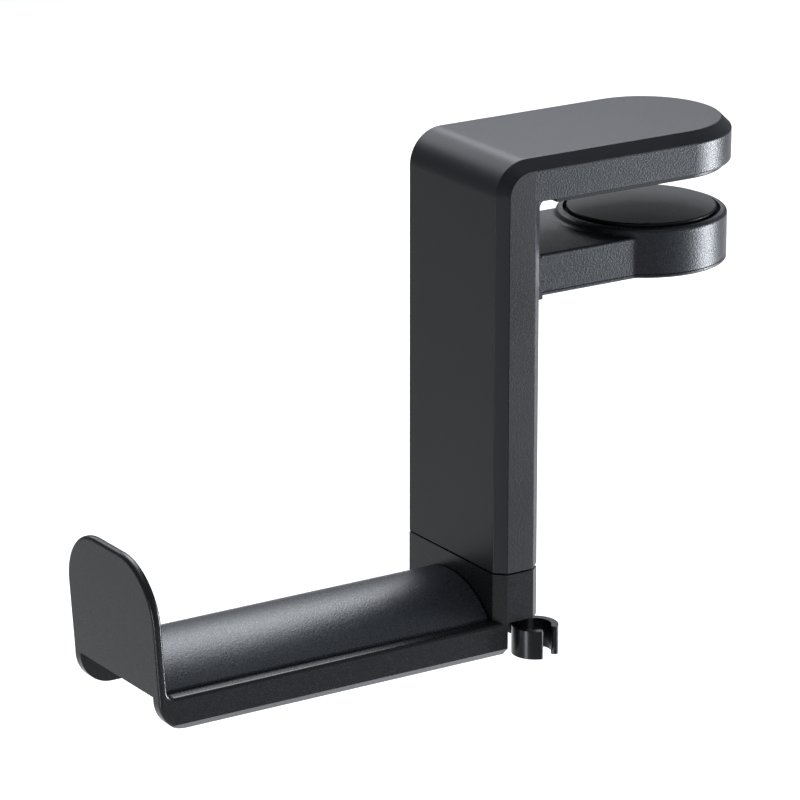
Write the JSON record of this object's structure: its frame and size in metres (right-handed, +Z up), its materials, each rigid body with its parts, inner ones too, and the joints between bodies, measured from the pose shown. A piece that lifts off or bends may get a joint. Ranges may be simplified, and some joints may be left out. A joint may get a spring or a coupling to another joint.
{
  "type": "headphone hook",
  "caption": "Clamp-on desk headphone hook: a swivelling cradle arm under a column, with a spring-closed lower jaw, round turning pad and open cable clip.",
  "frame": {"origin": "centre of the contact face of the upper jaw's pad, straight above the middle of the lower jaw's round pad, where the underside of the upper jaw rests on the desk top", "axes": "+X across the hook, +Y from the column towards the tips of the jaws (into the desk), +Z up"},
  "size_m": [0.046, 0.1685, 0.1202],
  "materials": {
    "satin_charcoal": "fine satin",
    "textured_charcoal": "fine spark-eroded texture",
    "saddle_plastic": "smooth satin",
    "gloss_black": "glossy",
    "inner_plastic": "matte",
    "pad_rubber": "matte",
    "steel": "zinc plated"
  },
  "bodies": {
    "clamp": {"outer_shell": "satin_charcoal", "jaw_frame": "textured_charcoal", "lid_screws": "steel", "upper_pad": "pad_rubber", "rear_cover": "textured_charcoal", "cover_screws": "steel", "top_block": "inner_plastic", "foot_block": "inner_plastic", "guide_rods": "steel", "swivel_bolt": "steel", "swivel_washer": "steel", "wave_washer": "steel", "swivel_nut": "steel", "jaw_springs": "steel"},
    "jaw": {"lower_jaw": "textured_charcoal", "jaw_bottom_cover": "textured_charcoal", "bottom_screws": "steel", "carriage": "inner_plastic", "carriage_screws": "steel"},
    "pad": {"pad_disc": "inner_plastic", "pad_facing": "pad_rubber", "pad_pivot": "steel"},
    "arm": {"arm_frame": "satin_charcoal", "saddle": "saddle_plastic", "saddle_screws": "steel", "cable_clip": "gloss_black", "thrust_washer": "inner_plastic"}
  },
  "joints": [
    {"name": "jaw_slide", "type": "slide", "parent": "clamp", "child": "jaw", "axis": [0, 0, -1], "range_m": [0, 0.03], "stiffness_N_per_m": 800, "springref_m": -0.02, "deforming": ["jaw_springs"]},
    {"name": "pad_turn", "type": "hinge", "parent": "jaw", "child": "pad", "pos_m": [0, 0, -0.0125], "axis": [0, 0, 1], "continuous": true},
    {"name": "arm_swivel", "type": "hinge", "parent": "clamp", "child": "arm", "pos_m": [0, -0.048, -0.088], "axis": [0, 0, 1], "continuous": true}
  ]
}
